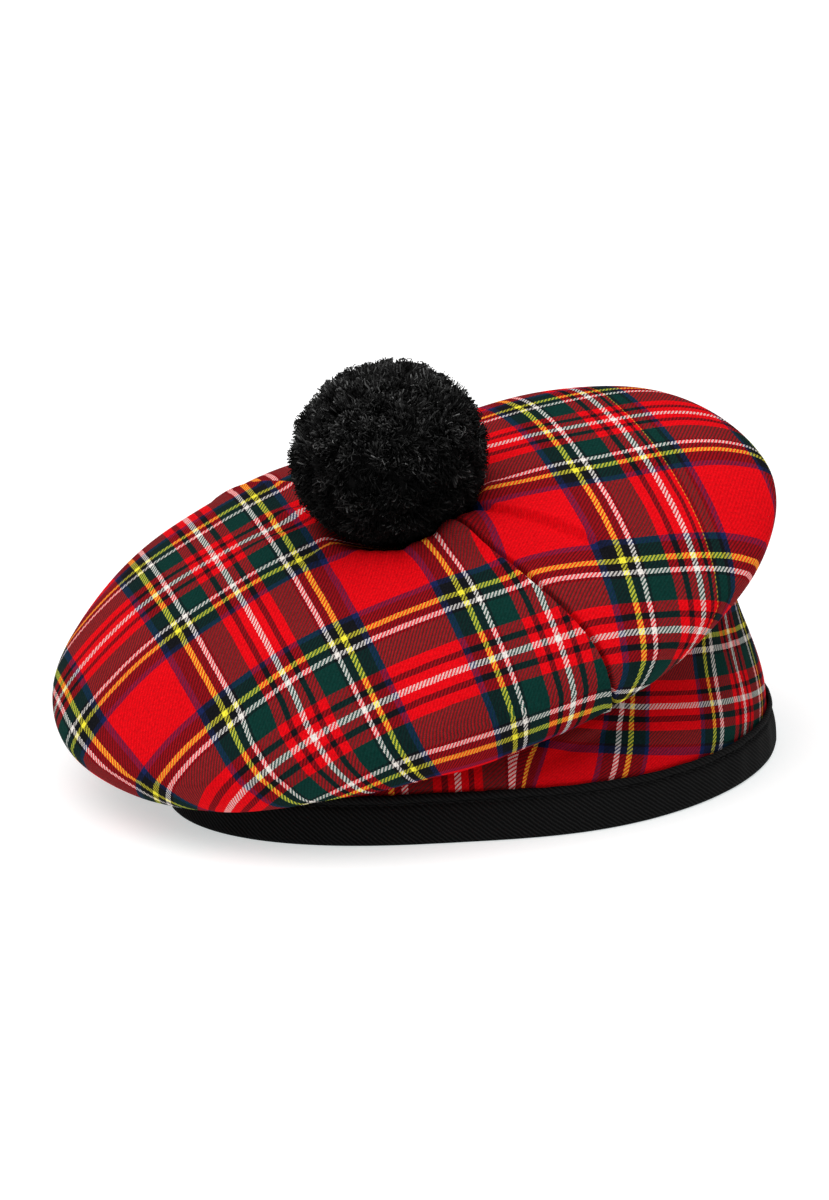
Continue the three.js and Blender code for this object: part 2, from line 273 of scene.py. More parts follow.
def mesh_object(name, points, faces, uv=None, uv_name="threads", attrs=None):
    """points in construction millimetres; faces is a list of (n, 3) or (n, 4) index arrays; uv is per point."""
    me = bpy.data.meshes.new(name)
    pts = to_row(points).astype(np.float32)
    loops = np.concatenate([f.ravel() for f in faces]).astype(np.int32)
    sizes = np.concatenate([np.full(len(f), f.shape[1]) for f in faces]).astype(np.int32)
    me.vertices.add(len(pts))
    me.vertices.foreach_set("co", pts.ravel())
    me.loops.add(len(loops))
    me.loops.foreach_set("vertex_index", loops)
    me.polygons.add(len(sizes))
    me.polygons.foreach_set("loop_start", (np.cumsum(sizes) - sizes).astype(np.int32))
    me.polygons.foreach_set("loop_total", sizes)
    if uv is not None:
        layer = me.uv_layers.new(name=uv_name)
        layer.data.foreach_set("uv", np.asarray(uv, np.float32)[loops].ravel())
    for key, values in (attrs or {}).items():
        at = me.attributes.new(key, "FLOAT", "POINT")
        at.data.foreach_set("value", np.asarray(values, np.float32))
    me.update(calc_edges=True)
    me.validate()
    me.polygons.foreach_set("use_smooth", np.ones(len(me.polygons), bool))
    ob = bpy.data.objects.new(name, me)
    bpy.context.collection.objects.link(ob)
    return ob


def shell(outer, inner, uv, loop=False, tip=False):
    """Closed wall from two grids [row][column]; returns points, faces, uv."""
    rows, cols = outer.shape[:2]
    size = rows * cols
    idx = np.arange(size).reshape(rows, cols)
    if tip:
        idx[0, :] = 0
    k0 = np.arange(cols if loop else cols - 1)
    k1 = (k0 + 1) % cols
    quads, tris = [], []

    def add(a, b, c, d):
        q = np.stack([a, b, c, d], -1).reshape(-1, 4)
        bad = q[:, 0] == q[:, 1]
        quads.append(q[~bad])
        if bad.any():
            tris.append(q[bad][:, [0, 2, 3]])
    i = np.arange(rows - 1)[:, None]
    o = idx
    n = idx + size
    add(o[i, k1], o[i, k0], o[i + 1, k0], o[i + 1, k1])
    add(n[i, k0], n[i, k1], n[i + 1, k1], n[i + 1, k0])
    add(o[-1, k1], o[-1, k0], n[-1, k0], n[-1, k1])
    if not tip:
        add(o[0, k0], o[0, k1], n[0, k1], n[0, k0])
    if not loop:
        j = np.arange(rows - 1)
        add(o[j, 0], n[j, 0], n[j + 1, 0], o[j + 1, 0])
        add(n[j, -1], o[j, -1], o[j + 1, -1], n[j + 1, -1])
    faces = [np.concatenate(quads)] + ([np.concatenate(tris)] if tris else [])
    pts = np.concatenate([outer.reshape(-1, 3), inner.reshape(-1, 3)])
    uvs = np.concatenate([uv.reshape(-1, 2), uv.reshape(-1, 2)])
    used = np.zeros(len(pts), bool)
    for f in faces:
        used[f.ravel()] = True
    new = np.cumsum(used) - 1
    return pts[used], [new[f] for f in faces], uvs[used]


def grid_normals(P, loop=False):
    if loop:
        dk = np.roll(P, -1, 1) - np.roll(P, 1, 1)
    else:
        dk = np.gradient(P, axis=1)
    di = np.gradient(P, axis=0)
    return unit(np.cross(di, dk))


# --- crown panels ------------------------------------------------------------
S_ROWS = np.concatenate([np.linspace(0, 1, 84), np.linspace(1, 2, 30)[1:], np.linspace(2, 3, 34)[1:]])
PANEL_COLS = 221
SEAM_SWAY = [(0, 0.20, 0.24, 0.29, 0.34, 0.40, 0.47, 0.55, 0.65, 0.76, 0.95, 1.3, 1.7, 2.2, 3),
             (0, 4.5, 4.5, 3.0, 2.0, 1.4, 0.6, 0.2, -0.1, -0.6, -1.9, -1.9, -0.9, 0, 0)]       # degrees by cloth row


def crown_panel(name, start, coef):
    k = np.linspace(0, 1, PANEL_COLS)
    az = start + 180 * (k - 0.8 * np.sin(2 * np.pi * k) / (2 * np.pi))
    wide = np.concatenate([[az[0] - 0.6], az, [az[-1] + 0.6]])   # one more column each side, for normals
    flat = flat_radius(wide, S_ROWS).T
    A, S = np.meshgrid(wide, S_ROWS, indexing="xy")
    # the front seam is not quite straight
    near = np.exp(-((np.mod(A - SEAM_AZ + 180, 360) - 180) / 14) ** 2)
    A2 = A + near * np.interp(S, SEAM_SWAY[0], SEAM_SWAY[1])
    P = crown_base(A2, S)
    a, b = flat * np.cos(np.radians(A2)), flat * np.sin(np.radians(A2))
    n = grid_normals(P)
    n[0] = N
    P = P + n * crown_relief(A, S, a, b)[..., None]
    P[0] = P[0, :1]
    n = grid_normals(P)
    n[0] = N
    side = (local(np.array(1.0), np.array(start + 90.0), np.array(0.0)) - O) * SEAM_GAP / 2
    outer, inner = P + side, P - n * CLOTH + side
    uv = weave(coef, a, b)
    # the cloth is stretched round the rim in front, left of the seam
    front = np.exp(-((np.mod(A, 360) - 288) / 20) ** 2) * (coef is WEAVE["left"])
    uv[..., 1] += 9.0 * front * smooth(0.86, 1.04, S) * (1 - smooth(1.6, 2.4, S))
    if coef is WEAVE["left"]:            # and the upright threads spread a little over the drooping rim
        turn = np.mod(A, 360)
        fan = 10 * np.exp(-((turn - 247) / 10) ** 2) * smooth(1.0, 1.6, S) + 5 * np.exp(-((turn - 243) / 12) ** 2) * smooth(0.6, 0.75, S)
        fan = fan - 3 * np.exp(-((turn - 221) / 6) ** 2) * smooth(0.88, 1.02, S) + 7 * np.exp(-((turn - 205) / 14) ** 2) * smooth(0.5, 0.75, S)
        uv[..., 0] += fan * (1 - smooth(1.7, 2.4, S))
    cut = slice(1, -1)
    pts, faces, uvs = shell(outer[:, cut], inner[:, cut], uv[:, cut], tip=True)
    return mesh_object(name, pts, faces, uvs)


crown_right = crown_panel("crown_right_cloth", SEAM_AZ, WEAVE["right"])
crown_left = crown_panel("crown_left_cloth", SEAM_AZ + 180, WEAVE["left"])

# --- side band ---------------------------------------------------------------
BAND_COLS, BAND_ROWS = 480, 48
BAND_START = 261.0                 # azimuth of the band's own join, under the drooping crown
BAND_V = dict(level=17.2, tilt=20.3, at=15.0, pitch=0.32, low_pitch=0.288)   # the cloth's white line runs slantwise round the band
BAND_SKEW = 0.47                   # how far the upright stripes lean, in front


def side_band():
    az = BAND_START + np.arange(BAND_COLS + 1) * 360.0 / BAND_COLS      # the last column repeats the first
    q = np.concatenate([[-1], np.linspace(0, 1, BAND_ROWS), [2]])
    A, Q = np.meshgrid(az, q, indexing="xy")
    top = rim["neck_z"](A)
    ring = edge(az)
    arc = np.concatenate([[0], np.cumsum(np.linalg.norm(np.diff(ring, axis=0), axis=1))])
    around = arc[-1]
    arc = arc - np.interp(315.0, az, arc)

    def face(d):
        low, high = edge(A, BAND["inset"] + d + lean_at(A, np.where(Q < 0, BAND["bottom"], BINDING["height"]))), edge(A, NECK_IN + d)
        t = np.clip(Q, 0, 1)
        e = (t * t * (3 - 2 * t))[..., None]
        P = low + (high - low) * e
        P[..., 2] = np.where(Q < 0, BAND["bottom"], np.where(Q > 1, top + BAND["tail"], BINDING["height"] + (top - BINDING["height"]) * t))
        # slack: shallow upright waves between the binding and the gathered neck, and a soft crease in front
        ph = np.radians(A)
        wave = smooth(0.05, 0.6, Q) * (0.45 * np.cos(9 * ph + 0.4) + 0.30 * np.cos(21 * ph + 1.0) + 0.2 * np.cos(37 * ph))
        x = arc[None, :] + 14.0
        y = P[..., 2] - (28.0 + 0.25 * x)
        wave = wave + 1.1 * np.exp(-((x + 6) / 18) ** 2) * (np.exp(-((y - 3) / 3.5) ** 2) - np.exp(-(y / 2.0) ** 2))
        wave = wave * (1 - smooth(0.85, 1.0, Q)) * smooth(0.0, 0.08, Q)
        out = edge(A, -1.0) - edge(A)
        return P + out * wave[..., None]
    outer, inner = face(0.0), face(CLOTH)
    length = np.concatenate([np.zeros((1, len(az))), np.cumsum(np.linalg.norm(np.diff(outer, axis=0), axis=-1), 0)])
    length = length - length[1]                       # above the top of the binding
    skew = BAND_SKEW * smooth(-54, -38, arc) * (1 - smooth(45, 150, arc) * 1.0)
    knots = np.array(BAND_U, float)
    knots[-1, 0] = knots[0, 0] + around
    eff = arc[None, :] - skew[None, :] * length
    first, last = knots[0], knots[-1]
    u = np.interp(eff, knots[:, 0], knots[:, 1])
    u = np.where(eff < first[0], first[1] + (eff - first[0]) * 3.4, np.where(eff > last[0], last[1] + (eff - last[0]) * 3.4, u))
    v = length - BAND_V["level"] + BAND_V["tilt"] * np.sin(2 * np.pi * (arc[None, :] - BAND_V["at"]) / around)
    v = v / np.where(v < 0, BAND_V["low_pitch"], BAND_V["pitch"])
    uv = np.stack([u, v], -1)
    return band_mesh("side_band_cloth", outer[::-1], inner[::-1], uv[::-1])


def band_mesh(name, o, n, t):
    """Closed ring whose first and last columns are the same points but carry their own thread numbers."""
    rows, cols = o.shape[:2]
    m = cols - 1
    idx = np.arange(rows * m).reshape(rows, m)
    size = rows * m
    k0 = np.arange(m)
    k1 = (k0 + 1) % m
    i = np.arange(rows - 1)[:, None]
    faces, uvs = [], []

    def add(q, ti, tk):
        faces.append(np.stack(q, -1).reshape(-1, 4))
        uvs.append(np.stack([t[ti[j], tk[j]] for j in range(4)], -2).reshape(-1, 4, 2))
    z = np.zeros(m, int)
    kk = k0 + 1
    add((idx[i, k1], idx[i, k0], idx[i + 1, k0], idx[i + 1, k1]), (i + 0 * kk, i + 0 * kk, i + 1 + 0 * kk, i + 1 + 0 * kk), (kk + 0 * i, k0 + 0 * i, k0 + 0 * i, kk + 0 * i))
    add((size + idx[i, k0], size + idx[i, k1], size + idx[i + 1, k1], size + idx[i + 1, k0]), (i + 0 * kk, i + 0 * kk, i + 1 + 0 * kk, i + 1 + 0 * kk), (k0 + 0 * i, kk + 0 * i, kk + 0 * i, k0 + 0 * i))
    add((idx[-1, k1], idx[-1, k0], size + idx[-1, k0], size + idx[-1, k1]), (z - 1, z - 1, z - 1, z - 1), (kk, k0, k0, kk))
    add((idx[0, k0], idx[0, k1], size + idx[0, k1], size + idx[0, k0]), (z, z, z, z), (k0, kk, kk, k0))
    quads = np.concatenate(faces)
    loop_uv = np.concatenate(uvs)
    pts = np.concatenate([o[:, :m].reshape(-1, 3), n[:, :m].reshape(-1, 3)])
    ob = mesh_object(name, pts, [quads])
    layer = ob.data.uv_layers.new(name="threads")
    layer.data.foreach_set("uv", loop_uv.astype(np.float32).ravel())
    return ob


band = side_band()

# --- binding -----------------------------------------------------------------
BIND_COLS = 480


def binding():
    h, tp, sl = BINDING["height"], BINDING["tape"], BINDING["slot"]
    wide = 2 * tp + sl
    sec = []
    # outer leg: flat foot, swelling side, stitched groove, rolled top
    for d, z in [(1.5, 0.0), (0.75, 0.18), (0.3, 0.6), (0.08, 1.4), (0.0, 2.6), (-0.1, 4.5), (-0.15, 6.5), (-0.1, 8.5), (0.0, 10.0), (0.1, 11.0),
                 (0.42, 11.6), (0.85, 12.0), (0.80, 12.4), (0.25, 12.8), (-0.2, 13.4), (-0.25, 14.1), (0.0, 14.7), (0.35, 15.05), (0.8, 15.05), (1.12, 14.7)]:
        sec.append((d, z))
    for z in (12.0, 8.0, 4.0, 1.25):
        sec.append((tp, z))
    for z in (1.25, 4.0, 8.0, 12.0):
        sec.append((tp + sl, z))
    for d, z in [(wide - 1.12, 14.7), (wide - 0.8, 15.05), (wide - 0.35, 15.05), (wide, 14.7), (wide + 0.1, 14.0), (wide + 0.1, 13.2), (wide - 0.1, 12.6),
                 (wide - 0.3, 12.1), (wide - 0.1, 11.5), (wide, 10), (wide + 0.1, 6), (wide, 2.6), (wide - 0.1, 1.2), (wide - 0.5, 0.3), (wide - 1.2, 0.0)]:
        sec.append((d, z))
    sec = np.array(sec)
    m = len(sec)
    az = np.arange(BIND_COLS) * 360.0 / BIND_COLS
    ph = np.radians(az)
    ring = edge(az)
    arc = np.concatenate([[0], np.cumsum(np.linalg.norm(np.roll(ring, -1, 0) - ring, axis=1))])
    along = np.concatenate([[0], np.cumsum(np.hypot(*np.diff(sec, axis=0).T))])
    pts = np.empty((BIND_COLS, m, 3))
    for j, (d, z) in enumerate(sec):
        bulge = 0.18 * np.sin(math.pi * min(z, h) / h) * (np.cos(31 * ph) + np.cos(47 * ph + 1)) * (1 if d < tp else 0.4)
        top = smooth(11, 15, np.array(z)) * 0.07 * (np.cos(19 * ph + 0.7) + np.cos(53 * ph))
        p = edge(az, d - bulge + lean_at(az, z))
        p[:, 2] = z + (top if z > 11 else 0)
        pts[:, j] = p
    idx = np.arange(BIND_COLS * m).reshape(BIND_COLS, m)
    quads, uvq = [], []
    for k in range(BIND_COLS):
        k1 = (k + 1) % BIND_COLS
        j = np.arange(m)
        j1 = (j + 1) % m
        quads.append(np.stack([idx[k, j], idx[k1, j], idx[k1, j1], idx[k, j1]], -1))
        e1 = np.append(along, along[-1] + 3.0)[j + 1]
        uvq.append(np.stack([np.stack([0 * j + arc[k], along[j]], -1), np.stack([0 * j + arc[k + 1], along[j]], -1),
                             np.stack([0 * j + arc[k + 1], e1], -1), np.stack([0 * j + arc[k], e1], -1)], 1))
    ob = mesh_object("binding_tape", pts.reshape(-1, 3), [np.concatenate(quads)])
    layer = ob.data.uv_layers.new(name="tape_mm")
    layer.data.foreach_set("uv", np.concatenate(uvq).astype(np.float32).ravel())
    return ob


tape = binding()


def stitches():
    """A row of short thread dashes in the groove under the rolled top of the binding."""
    az = np.linspace(0, 360, 3601)
    ring = edge(az, 0.42)
    arc = np.concatenate([[0], np.cumsum(np.linalg.norm(np.diff(ring, axis=0), axis=1))])
    count = int(arc[-1] / 3.1)
    pts, quads = [], []
    segs, sides = 5, 6
    for i in range(count):
        c = (i + 0.5) * arc[-1] / count
        base = sum(len(p) for p in pts)
        rings = []
        for t in np.linspace(-1, 1, segs + 1):
            a_ = np.interp(c + t * 1.15, arc, az)
            r = 0.27 * math.sqrt(max(0.02, 1 - t ** 4))
            centre = edge(a_, 0.62 + 0.25 * t * t + lean_at(a_, 12.1))
            centre[2] = 12.1
            out = edge(a_, 0.0) - edge(a_, 1.0)
            ang = np.arange(sides) * 2 * math.pi / sides
            rings.append(centre + r * (np.cos(ang)[:, None] * out + np.sin(ang)[:, None] * np.array([0, 0, 1.0])))
        pts.append(np.concatenate(rings))
        for s in range(segs):
            j = np.arange(sides)
            j1 = (j + 1) % sides
            quads.append(np.stack([base + s * sides + j, base + s * sides + j1, base + (s + 1) * sides + j1, base + (s + 1) * sides + j], -1))
        quads.append(base + np.array([[5, 4, 1, 0], [4, 3, 2, 1]]))
        e = base + segs * sides
        quads.append(e + np.array([[0, 1, 4, 5], [1, 2, 3, 4]]))
    return mesh_object("binding_stitches", np.concatenate(pts), [np.concatenate(quads)])


thread = stitches()

# --- pompom ------------------------------------------------------------------
BALL_C = O + U * POMPOM["off"] + N * (CROWN["dome"] + POMPOM["lift"])
BALL_TOP = 27.6                    # the clipped yarn is a little flat on top
PARTING = np.array([0.747, 0.327, 0.579])   # row direction square to a parting in the yarn


def ball_frame(d):
    return d[..., :1] * U + d[..., 1:2] * V + d[..., 2:3] * N


def noise3(p, seed, waves=18, scale=1.0):
    """Smooth pseudo-random field made of a few plane waves."""
    g = np.random.default_rng(seed)
    k = unit(g.normal(size=(waves, 3))) * (scale * g.uniform(0.6, 1.6, (waves, 1)))
    return np.sin(p @ k.T + g.uniform(0, 6.28, waves)).sum(-1) / math.sqrt(waves)


def ball_radius(d):
    """Outline of the clipped yarn: a ball a little lower than wide, with shallow partings."""
    high = np.where(d[..., 2] > 0, BALL_TOP, POMPOM["high"])
    r = 1 / np.sqrt((d[..., 0] ** 2 + d[..., 1] ** 2) / POMPOM["wide"] ** 2 + d[..., 2] ** 2 / high ** 2)
    return r * (1 + 0.008 * noise3(d, 5, scale=4.0))


def spiral(n, turn=0.0):
    """n directions spread evenly over a ball."""
    i = np.arange(n) + 0.5
    z = 1 - 2 * i / n
    phi = i * math.pi * (3 - math.sqrt(5)) + turn
    return np.stack([np.sqrt(1 - z * z) * np.cos(phi), np.sqrt(1 - z * z) * np.sin(phi), z], -1)


# tufts: the yarn ends stand together in clumps, with gaps between them
TUFTS = 340
TUFT = unit(spiral(TUFTS, 1.0) + RNG.normal(scale=0.06, size=(TUFTS, 3)))
TUFT_LEN = np.clip(RNG.normal(scale=0.7, size=TUFTS), -1.3, 0.9)
TUFT_TONE = RNG.normal(scale=0.45, size=TUFTS)


def yarn_ends(d):
    """Nearest tuft, distance from its middle in mm and radius of the clipped yarn ends in direction d."""
    near = np.argmax(d @ TUFT.T, axis=1)
    apart = np.arccos(np.clip((d * TUFT[near]).sum(1), -1, 1)) * POMPOM["wide"]
    part = np.array([PARTING @ U, PARTING @ V, PARTING @ N])
    gap = 1.6 * np.exp(-((d @ part) / 0.04) ** 2) * smooth(0.0, 0.4, -d[:, 1])       # a parting in front
    return near, apart, ball_radius(d) + TUFT_LEN[near] - 0.16 * apart ** 2 - gap


def ball_tone_and_painted_shade(d, near, apart, spread):
    """Brightness of the yarn ends: uneven per strand and per tuft, partly dye and partly painted glints, with painted
    shade between the tufts and low down and painted light on top and towards the upper left.
    """
    way = ball_frame(d)
    # painted light and shade: the yarn is made brighter on top and towards the upper left and darker low down; the
    # apart term paints shade between the tufts
    low = 0.30 + 0.80 * smooth(-0.15, 1.0, way[:, 2]) + 0.35 * smooth(0.3, 0.95, 0.75 * way[:, 2] - 0.66 * way[:, 0])
    return np.clip(np.exp(RNG.normal(scale=spread, size=len(d)) + TUFT_TONE[near] - 0.20 * apart) * low, 0.03, 8.0)


def pompom():
    count = 23800
    d = unit(spiral(count) + RNG.normal(scale=0.02, size=(count, 3)))
    near, apart, ends = yarn_ends(d)
    tuft_lean = RNG.normal(scale=0.05, size=(TUFTS, 3))[near]
    tip_dir = unit(d * 0.72 + TUFT[near] * 0.28 + tuft_lean + RNG.normal(scale=0.05, size=d.shape))
    R = ball_radius(d)
    tip_r = ends + RNG.normal(scale=0.5, size=count) + 0.1
    stray = RNG.random(count) < 0.03
    tip_r = np.where(stray, R + RNG.uniform(0.2, 1.2, count), tip_r)
    root_r = R - RNG.uniform(4.6, 5.4, count)
    # strands under the seat stay short so that they do not reach the crown cloth
    low = smooth(-0.45, -0.75, d[:, 2])
    tip_r = np.clip(tip_r, R - 3.0, R + 1.0 - low * 2.2)
    root = d * root_r[:, None]
    tip = tip_dir * tip_r[:, None]
    axis = unit(tip - root)
    ref = np.where(np.abs(axis[:, 2:3]) < 0.9, np.array([[0, 0, 1.0]]), np.array([[1.0, 0, 0]]))
    e1 = unit(np.cross(axis, ref))
    e2 = np.cross(axis, e1)
    spin = RNG.uniform(0, 6.28, count)
    thick = RNG.uniform(0.7, 1.2, count)
    pts = np.empty((count, 6, 3))
    for level, (c, w) in enumerate(((root, 0.24), (tip, np.where(stray, 0.12, 0.23)))):
        for s in range(3):
            an = spin + s * 2 * math.pi / 3
            pts[:, level * 3 + s] = c + (w * thick)[:, None] * (np.cos(an)[:, None] * e1 + np.sin(an)[:, None] * e2)
    base = (np.arange(count) * 6)[:, None]
    quads = np.concatenate([base + np.array([[s, (s + 1) % 3, 3 + (s + 1) % 3, 3 + s]]) for s in range(3)])
    tris = np.concatenate([base + np.array([[2, 1, 0]]), base + np.array([[3, 4, 5]])])
    shade = np.repeat(ball_tone_and_painted_shade(d, near, apart, 1.1), 6)
    # heat runs from 0 at the root to 1 at the tip; the material uses it to paint shade towards the roots
    heat = np.tile(np.repeat(np.array([0.0, 1.0]), 3), count)
    pts = BALL_C + ball_frame(pts.reshape(-1, 3))
    # core ball under the strands
    nu, nv = 64, 32
    th, al = np.meshgrid(np.linspace(0, math.pi, nv + 1)[1:-1], np.arange(nu) * 2 * math.pi / nu, indexing="ij")
    cd = np.stack([np.sin(th) * np.cos(al), np.sin(th) * np.sin(al), np.cos(th)], -1)
    cr = ball_radius(cd) - 3.6 + 0.3 * noise3(cd, 9, scale=14.0)
    core = np.concatenate([(cd * cr[..., None]).reshape(-1, 3), [[0, 0, BALL_TOP - 3.6], [0, 0, -POMPOM["high"] + 3.6]]])
    b0 = len(pts)
    ci = b0 + np.arange((nv - 1) * nu).reshape(nv - 1, nu)
    k1 = (np.arange(nu) + 1) % nu
    cq = np.stack([ci[:-1], ci[1:], ci[1:][:, k1], ci[:-1][:, k1]], -1).reshape(-1, 4)
    north, south = b0 + (nv - 1) * nu, b0 + (nv - 1) * nu + 1
    ct = np.concatenate([np.stack([0 * ci[0] + north, ci[0], ci[0][k1]], -1), np.stack([0 * ci[-1] + south, ci[-1][k1], ci[-1]], -1)])
    pts = np.concatenate([pts, BALL_C + ball_frame(core)])
    # painted shade: the core ball under the strands is given a low brightness and root heat, so it renders darker than
    # any strand
    shade = np.concatenate([shade, np.full(len(core), 0.2)])
    heat = np.concatenate([heat, np.zeros(len(core))])
    return mesh_object("pompom_yarn", pts, [np.concatenate([quads, cq]), np.concatenate([tris, ct])], attrs={"shade": shade, "heat": heat})


ball = pompom()


def pompom_curls():
    """Kinked ends of the yarn: short bowed lengths that lie every way on the ball."""
    count, segs = 8600, 3
    d = unit(RNG.normal(size=(count, 3)))
    d = d[d[:, 2] > -0.62]
    n = len(d)
    t = unit(np.cross(d, RNG.normal(size=d.shape)))
    rise = RNG.normal(scale=0.45, size=(n, 1))
    t = unit(t + d * rise)
    side = np.cross(t, d)
    half = RNG.uniform(0.55, 1.25, (n, 1))
    bow = RNG.uniform(0.25, 0.75, (n, 1))
    sway = RNG.normal(scale=0.3, size=(n, 1))
    near, apart, ends = yarn_ends(d)
    middle = d * (ends - 0.1 + RNG.normal(scale=0.4, size=n))[:, None]
    width = RNG.uniform(0.13, 0.21, (n, 1))
    pts = np.empty((n, (segs + 1) * 3, 3))
    for k, s in enumerate(np.linspace(-1, 1, segs + 1)):
        c = middle + t * half * s + d * bow * (0.4 - s * s) + side * sway * (s * s - 0.5)
        for q in range(3):
            an = 2 * math.pi * q / 3
            pts[:, k * 3 + q] = c + width * (1 - 0.35 * s * s) * (math.cos(an) * side + math.sin(an) * d)
    base = (np.arange(n) * (segs + 1) * 3)[:, None]
    quads = np.concatenate([base + np.array([[k * 3 + q, k * 3 + (q + 1) % 3, k * 3 + 3 + (q + 1) % 3, k * 3 + 3 + q]]) for k in range(segs) for q in range(3)])
    e = segs * 3
    tris = np.concatenate([base + np.array([[2, 1, 0]]), base + np.array([[e, e + 1, e + 2]])])
    # painted highlight: the curls on the outside of the ball are made a fifth brighter than the strands
    shade = np.repeat(1.2 * ball_tone_and_painted_shade(d, near, apart, 0.95), (segs + 1) * 3)
    return mesh_object("pompom_curls", BALL_C + ball_frame(pts.reshape(-1, 3)), [quads, tris], attrs={"shade": shade, "heat": np.ones(len(shade))})


curls = pompom_curls()


# ---------------------------------------------------------------------------
# Materials
class Nodes:
    def __init__(self, name):
        self.mat = bpy.data.materials.new(name)
        self.mat.use_nodes = True
        self.tree = self.mat.node_tree
        self.tree.nodes.clear()
        self.out = self.tree.nodes.new("ShaderNodeOutputMaterial")
        self.bsdf = self.tree.nodes.new("ShaderNodeBsdfPrincipled")
        self.link(self.bsdf.outputs[0], self.out.inputs[0])

    def link(self, a, b):
        self.tree.links.new(a, b)

    def put(self, value, socket):
        if isinstance(value, bpy.types.NodeSocket):
            self.link(value, socket)
        else:
            socket.default_value = value

    def math(self, op, a, b=0.0, c=0.0):
        n = self.tree.nodes.new("ShaderNodeMath")
        n.operation = op
        for v, s in zip((a, b, c), n.inputs):
            self.put(v, s)
        return n.outputs[0]

    def mix(self, fac, a, b, blend="MIX"):
        n = self.tree.nodes.new("ShaderNodeMix")
        n.data_type = "RGBA"
        n.blend_type = blend
        self.put(fac, n.inputs[0])
        self.put(a, n.inputs[6])
        self.put(b, n.inputs[7])
        return n.outputs[2]

    def uv(self, name):
        n = self.tree.nodes.new("ShaderNodeUVMap")
        n.uv_map = name
        s = self.tree.nodes.new("ShaderNodeSeparateXYZ")
        self.link(n.outputs[0], s.inputs[0])
        return n.outputs[0], s.outputs[0], s.outputs[1]

    def attr(self, name):
        n = self.tree.nodes.new("ShaderNodeAttribute")
        n.attribute_name = name
        return n.outputs["Fac"]

    def noise(self, vector, scale, detail=2.0, rough=0.5):
        n = self.tree.nodes.new("ShaderNodeTexNoise")
        self.link(vector, n.inputs["Vector"])
        n.inputs["Scale"].default_value = scale
        n.inputs["Detail"].default_value = detail
        n.inputs["Roughness"].default_value = rough
        return n.outputs["Fac"]

    def ramp(self, fac, stops):
        n = self.tree.nodes.new("ShaderNodeValToRGB")
        r = n.color_ramp
        r.interpolation = "CONSTANT"
        while len(r.elements) > 1:
            r.elements.remove(r.elements[-1])
        r.elements[0].position = stops[0][0]
        r.elements[0].color = (*stops[0][1], 1)
        for pos, col in stops[1:]:
            e = r.elements.new(pos)
            e.color = (*col, 1)
        self.put(fac, n.inputs[0])
        return n.outputs[0]

    def maprange(self, v, a, b, c, d):
        n = self.tree.nodes.new("ShaderNodeMapRange")
        for val, s in zip((v, a, b, c, d), n.inputs):
            self.put(val, s)
        return n.outputs[0]

    def bump(self, height, strength, distance):
        n = self.tree.nodes.new("ShaderNodeBump")
        n.inputs["Strength"].default_value = strength
        n.inputs["Distance"].default_value = distance
        self.link(height, n.inputs["Height"])
        self.link(n.outputs[0], self.bsdf.inputs["Normal"])

    def gray(self, v):
        n = self.tree.nodes.new("ShaderNodeCombineColor")
        for s in n.inputs[:3]:
            self.put(v, s)
        return n.outputs[0]

    def blue(self, colour):
        n = self.tree.nodes.new("ShaderNodeSeparateColor")
        self.link(colour, n.inputs[0])
        return n.outputs[2]

    def green(self, colour):
        n = self.tree.nodes.new("ShaderNodeSeparateColor")
        self.link(colour, n.inputs[0])
        return n.outputs[1]

    def object_coords(self):
        return self.tree.nodes.new("ShaderNodeTexCoord").outputs["Object"]


def sett_stops(order, total):
    stops, p = [], 0.0
    for key, n in order:
        stops.append((p / total, YARN[key]))
        p += n
    return stops


